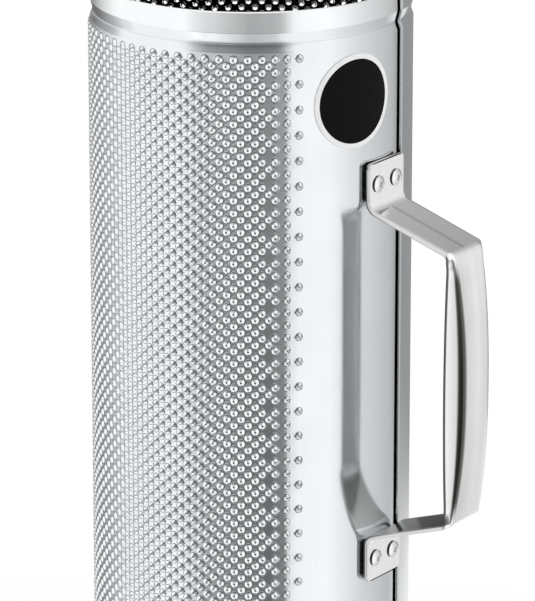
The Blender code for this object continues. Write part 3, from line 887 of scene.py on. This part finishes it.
def make_handle():
    """Strap bent from a flat blank, half of it modelled and mirrored about mid height."""

    def strap_point(place, station, depth):
        """Point of the skin at a depth, from its place across the strap and its station."""
        out, up, heading, width, share = station
        section, bulge = half_section(share, depth)
        across, below = section[abs(place)]
        side = across * width if place > 0 else -across * width
        lift = bulge - below
        return AXIS_X + out - lift * sin(heading), side, up + lift * cos(heading)

    last = CROWN_STEPS + BEND_STEPS + 2
    stations = strap_stations()
    grip_top = stations[-GRIP_STEPS][1]
    strap = bmesh.new()
    painted_shade = strap.verts.layers.float.new("painted_shade")

    def mark_painted_shade(point, place, station):
        """Marks how much painted shade the strap gets at a point."""
        heading, share = station[2], station[4]
        folded = min(1, share / BAND_FULL)
        if place == 0:
            point[painted_shade] = ARM_STREAK_SHADE * max(0, 1 - abs(heading + radians(ARM_SLOPE)) / STREAK_FADE)
        elif abs(place) == last:
            point[painted_shade] = ARM_EDGE_SHADE + (GRIP_EDGE_SHADE - ARM_EDGE_SHADE) * folded
        elif abs(place) > CROWN_STEPS:
            point[painted_shade] = BAND_SHADE[abs(place) - CROWN_STEPS - 1] * folded
        else:
            point[painted_shade] = CROWN_SHADE * max(0, -place / CROWN_STEPS) * folded

    def mark_inside(point, place, station):
        """The same for the inner skin, where the arms get more painted shade towards the grip."""
        out, heading = station[0], station[2]
        mark_painted_shade(point, place, station)
        if abs(place) < last and abs(heading + radians(ARM_SLOPE)) < STREAK_FADE / 2:
            along = (out - FOOT_FACE) / (GRIP_FACE - FOOT_FACE)
            at_foot, at_grip = INNER_ARM_SHADE
            point[painted_shade] = max(point[painted_shade], at_foot + (at_grip - at_foot) * along)

    places = list(range(-last, last + 1))
    rows = list(reversed(stations))
    grid_at(strap, places, rows, lambda place, row: strap_point(place, row, 0.0), mark_painted_shade)
    outer_skin = set(strap.faces)
    grid_at(strap, places, rows, lambda place, row: strap_point(place, row, HANDLE_THICKNESS),
            mark_inside)
    # the inside of the grip's trough keeps its dull pressed finish
    for face in strap.faces:
        if face not in outer_skin and abs(face.calc_center_median().z) < grip_top:
            face.material_index = 1
    bmesh.ops.mirror(strap, geom=strap.verts[:] + strap.edges[:] + strap.faces[:],
                     axis="Z", merge_dist=MERGE)
    rims = [edge for edge in strap.edges if edge.is_boundary]
    bmesh.ops.bridge_loops(strap, edges=rims)
    face_outwards(strap)
    soften(strap, rims, EDGE_BEVEL, BEVEL_STEPS)
    bmesh.ops.translate(strap, vec=(0, 0, TUBE_LENGTH / 2), verts=strap.verts)
    piece = finished(strap, "handle_strap", handle_steel, trough_steel)
    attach(piece, "root")
    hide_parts("handle")


make_handle()


# Rivets

def rivet_profile():
    """Hollow rivet from its seat: domed head, shank and the bulb formed inside the tube."""
    end = -RIVET_GRIP - RIVET_BULB_LENGTH
    rise = RIVET_HEAD_HEIGHT - RIVET_HEAD_EDGE
    profile = [(RIVET_BORE, RIVET_HEAD_HEIGHT - RIVET_BORE_CHAMFER)]
    for step in range(1, RIVET_STEPS + 1):
        share = step / RIVET_STEPS
        radius = RIVET_BORE + (RIVET_HEAD - RIVET_BORE) * share
        profile.append((radius, RIVET_HEAD_EDGE + rise * (1 - share ** 2)))
    profile += [(RIVET_HEAD, 0.0), (RIVET_SHANK, 0.0), (RIVET_SHANK, -RIVET_GRIP)]
    for step in range(RIVET_STEPS + 1):
        angle = pi * step / RIVET_STEPS
        radius = RIVET_SHANK + (RIVET_BULB - RIVET_SHANK) * sin(angle)
        profile.append((radius, -RIVET_GRIP - RIVET_BULB_LENGTH * (1 - cos(angle)) / 2))
    return profile[:-1] + [(RIVET_SHANK, end), (RIVET_BORE, end)]


def mandrel_profile():
    """Broken mandrel left in the rivet: a short stem with its head under the bulb."""
    top = RIVET_HEAD_HEIGHT - MANDREL_BELOW_HEAD
    shoulder = -RIVET_GRIP - RIVET_BULB_LENGTH - GAP
    bottom = shoulder - MANDREL_HEAD_HEIGHT
    middle = (shoulder + bottom) / 2
    profile = [(MANDREL * share, top - drop) for share, drop in MANDREL_BREAK]
    profile += [(MANDREL, shoulder), (MANDREL_HEAD, shoulder)]
    for step in range(MANDREL_HEAD_STEPS + 1):
        angle = pi / 2 * step / MANDREL_HEAD_STEPS
        profile.append((MANDREL_HEAD * cos(angle), middle - MANDREL_HEAD_HEIGHT / 2 * sin(angle)))
    return profile


def fit_rivet(name, profile, closed, side, up, steel):
    """A turned piece laid in a rivet hole, with its outer end away from the tube."""
    solid = turned(profile, closed, RIVET_SEGMENTS)
    # faces past the head's rim get the dark steel: a painted shadow round it
    for face in solid.faces:
        if face.calc_center_median().xy.length > RIVET_SHADE_FROM:
            face.material_index = 1
    outwards = Matrix.Rotation(pi / 2, 3, "Y")
    bmesh.ops.rotate(solid, cent=(0, 0, 0), matrix=outwards, verts=solid.verts)
    bmesh.ops.translate(solid, vec=(AXIS_X + RIVET_SEAT, side, up), verts=solid.verts)
    piece = finished(solid, f"turned_{name}", steel, rivet_edge_shade)
    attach(piece, "root")
    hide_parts(name)


for row, sign in (("upper", 1), ("lower", -1)):
    up = TUBE_LENGTH / 2 + sign * (HANDLE_TOP - FOOT_HEIGHT / 2)
    for hand, side in (("left", -RIVET_SPACING / 2), ("right", RIVET_SPACING / 2)):
        fit_rivet(f"rivet_{row}_{hand}", rivet_profile(), True, side, up,
                  rivet_steel)
        fit_rivet(f"mandrel_{row}_{hand}", mandrel_profile(), False, side, up,
                  mandrel_steel)


# Badge

def make_badge():
    """Thin blank disc with a pale rim, turned flat and then bent round the tube."""
    field = BADGE_RADIUS - BADGE_RIM_WIDTH
    rings = [field * ring / BADGE_RINGS for ring in range(BADGE_RINGS + 1)]
    crest_in, crest_rise = BADGE_RIM_CREST
    profile = [(radius, BADGE_THICKNESS) for radius in rings]
    profile += [(BADGE_RADIUS - crest_in, BADGE_THICKNESS + crest_rise),
                (BADGE_RADIUS, BADGE_THICKNESS - BADGE_RIM_DROP), (BADGE_RADIUS, 0.0)]
    profile += [(radius, 0.0) for radius in reversed(rings)]
    disc = turned(profile, False, BADGE_SEGMENTS)
    for face in disc.faces:
        if face.calc_center_median().xy.length > field:
            face.material_index = 1
    for point in disc.verts:
        angle = radians(BADGE_ANGLE) + point.co.x / TUBE_RADIUS
        radius = TUBE_RADIUS + BADGE_GAP + point.co.z
        point.co = (AXIS_X + radius * cos(angle), radius * sin(angle), BADGE_Z + point.co.y)
    face_outwards(disc)
    piece = finished(disc, "badge_disc", badge_black, badge_white)
    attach(piece, "root")
    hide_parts("badge")


make_badge()


# Stage, light and camera

def make_stage():
    """White floor that stays white to the camera and still takes the object's shadow."""
    floor = bmesh.new()
    bmesh.ops.create_circle(floor, cap_ends=True, segments=FLOOR_SEGMENTS, radius=FLOOR_RADIUS)
    material = bpy.data.materials.new("floor_white")
    material.use_nodes = True
    tree = material.node_tree
    tree.nodes.clear()
    seen = tree.nodes.new("ShaderNodeLightPath").outputs["Is Camera Ray"]
    matt = tree.nodes.new("ShaderNodeBsdfDiffuse")
    matt.inputs["Color"].default_value = (FLOOR_GREY, FLOOR_GREY, FLOOR_GREY, 1)
    glow = tree.nodes.new("ShaderNodeEmission")
    glow.inputs["Strength"].default_value = FLOOR_GLOW
    mix = tree.nodes.new("ShaderNodeMixShader")
    out = tree.nodes.new("ShaderNodeOutputMaterial")
    tree.links.new(add_math(tree, "MULTIPLY", seen, FLOOR_GLOW_SHARE), mix.inputs["Fac"])
    tree.links.new(matt.outputs[0], mix.inputs[1])
    tree.links.new(glow.outputs[0], mix.inputs[2])
    tree.links.new(mix.outputs[0], out.inputs["Surface"])
    piece = finished(floor, "floor", material)
    piece.visible_glossy = False


def make_light():
    """Soft studio: white panels at the sides, a grey gap at the camera, a low card and light above."""
    world = bpy.data.worlds.new("studio")
    bpy.context.scene.world = world
    world.use_nodes = True
    tree = world.node_tree
    turn = tree.nodes.new("ShaderNodeMapping")
    turn.inputs["Rotation"].default_value = (0, 0, radians(-CAMERA_ANGLE))
    place = tree.nodes.new("ShaderNodeTexCoord").outputs["Generated"]
    tree.links.new(place, turn.inputs["Vector"])
    split = tree.nodes.new("ShaderNodeSeparateXYZ")
    tree.links.new(turn.outputs["Vector"], split.inputs["Vector"])
    heading = add_math(tree, "ARCTAN2", split.outputs["Y"], split.outputs["X"])
    around = add_range(tree, heading, -pi, pi, 0.0, 1.0)
    elevation = add_math(tree, "ARCSINE", split.outputs["Z"], 0.0)
    upwards = add_range(tree, elevation, -pi / 2, pi / 2, 0.0, 1.0)

    def grey_around(stops):
        return add_ramp(tree, around, [((angle + 180) / 360, grey) for angle, grey in stops])

    def grey_up(stops):
        return add_ramp(tree, upwards, [((angle + 90) / 180, grey) for angle, grey in stops])

    gap_share = add_range(tree, grey_around(GAP_AROUND), 0.0, 1.0, PANEL_SHARE, grey_up(GAP_UP))
    panels = add_math(tree, "MULTIPLY", grey_around(PANELS), gap_share)
    card = add_math(tree, "MULTIPLY", grey_around(CARD_AROUND), grey_up(CARD_UP))
    sides = add_math(tree, "ADD", add_math(tree, "MULTIPLY", panels, SIDE_STRENGTH), card)
    light = add_range(tree, grey_up(OVERHEAD_UP), 0.0, 1.0, sides, OVERHEAD_STRENGTH)
    back = tree.nodes["Background"]
    tree.links.new(light, back.inputs["Strength"])
    back.inputs["Color"].default_value = (1, 1, 1, 1)
    white = tree.nodes.new("ShaderNodeBackground")
    white.inputs["Color"].default_value = (1, 1, 1, 1)
    mix = tree.nodes.new("ShaderNodeMixShader")
    seen = tree.nodes.new("ShaderNodeLightPath").outputs["Is Camera Ray"]
    tree.links.new(seen, mix.inputs["Fac"])
    tree.links.new(back.outputs[0], mix.inputs[1])
    tree.links.new(white.outputs[0], mix.inputs[2])
    tree.links.new(mix.outputs[0], tree.nodes["World Output"].inputs["Surface"])


def make_camera():
    """Camera at the photograph's viewing angle, above the tube and looking down on it."""
    camera = bpy.data.cameras.new("camera")
    camera.sensor_fit = "VERTICAL"
    camera.sensor_height = CAMERA_SENSOR
    camera.lens = CAMERA_LENS
    camera.clip_end = CAMERA_CLIP
    holder = bpy.data.objects.new("camera", camera)
    x, y, z = CAMERA_PLACE
    holder.location = (AXIS_X + x, y, z)
    holder.rotation_euler = (radians(90 - CAMERA_TILT), 0, radians(CAMERA_TURN))
    bpy.context.scene.collection.objects.link(holder)
    bpy.context.scene.camera = holder


make_stage()
make_light()
make_camera()
bpy.context.scene.view_settings.view_transform = "Standard"
